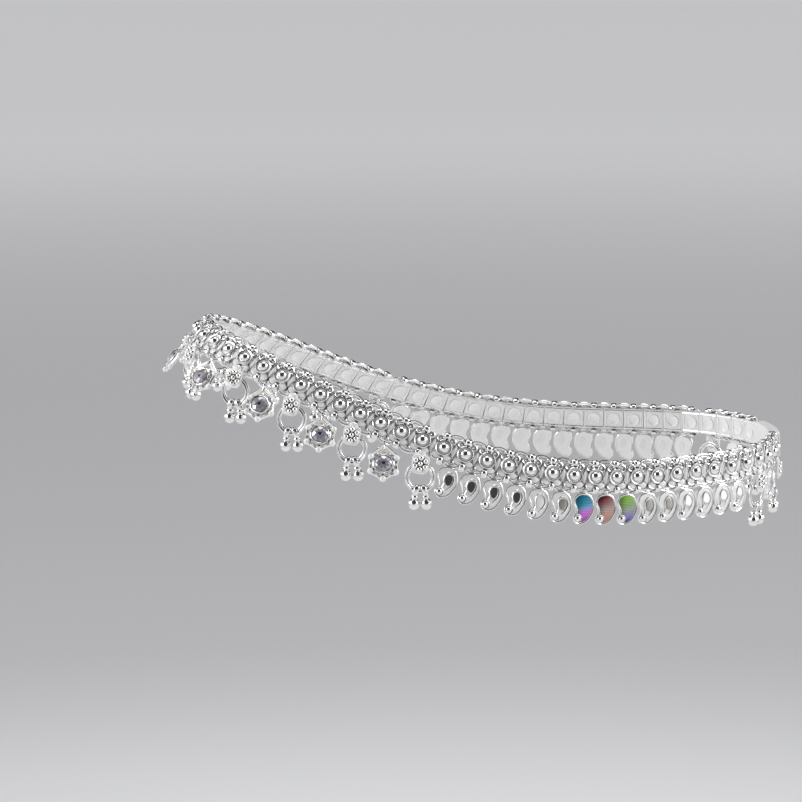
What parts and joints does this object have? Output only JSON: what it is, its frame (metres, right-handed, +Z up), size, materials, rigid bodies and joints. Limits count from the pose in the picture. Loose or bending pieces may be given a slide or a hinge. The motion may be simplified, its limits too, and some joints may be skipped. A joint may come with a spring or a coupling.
{
  "type": "payal anklet",
  "caption": "Silver ankle chain of button links with stone-set flower drops, bell drops on rings and paisley drops, shown as worn round an ankle.",
  "frame": {"origin": "middle of the ankle opening that the loop is worn round, between its toe and heel ends", "axes": "+Z up the leg, +X towards the heel and the clasp, -Y towards the side with the near pieces"},
  "size_m": [0.1065, 0.0636, 0.0349],
  "materials": {
    "silver": "polished and satin sterling silver",
    "stone": "clear faceted stone",
    "enamel_teal": "teal enamel shading to magenta",
    "enamel_red": "dark red enamel shading to salmon",
    "enamel_green": "green enamel shading through grey to violet blue"
  },
  "bodies": {
    "root": {"band_far_back": "silver", "band_far_paisleys": "silver", "band_far_side": "silver", "band_front": "silver", "band_near_back": "silver", "band_near_paisleys": "silver", "band_near_side": "silver", "clasp": "silver", "enamel_far_green": "enamel_green", "enamel_far_red": "enamel_red", "enamel_far_teal": "enamel_teal", "enamel_near_green": "enamel_green", "enamel_near_red": "enamel_red", "enamel_near_teal": "enamel_teal", "flower_1": "silver", "flower_2": "silver", "flower_3": "silver", "flower_4": "silver", "flower_5": "silver", "flower_6": "silver", "flower_7": "silver", "flower_8": "silver", "flower_9": "silver", "ring_drop_01": "silver", "ring_drop_02": "silver", "ring_drop_03": "silver", "ring_drop_04": "silver", "ring_drop_05": "silver", "ring_drop_06": "silver", "ring_drop_07": "silver", "ring_drop_08": "silver", "ring_drop_09": "silver", "ring_drop_10": "silver", "ring_drop_11": "silver", "ring_drop_12": "silver", "ring_drop_13": "silver", "ring_drop_14": "silver", "stone_1": "stone", "stone_2": "stone", "stone_3": "stone", "stone_4": "stone", "stone_5": "stone", "stone_6": "stone", "stone_7": "stone", "stone_8": "stone", "stone_9": "stone"}
  },
  "joints": []
}
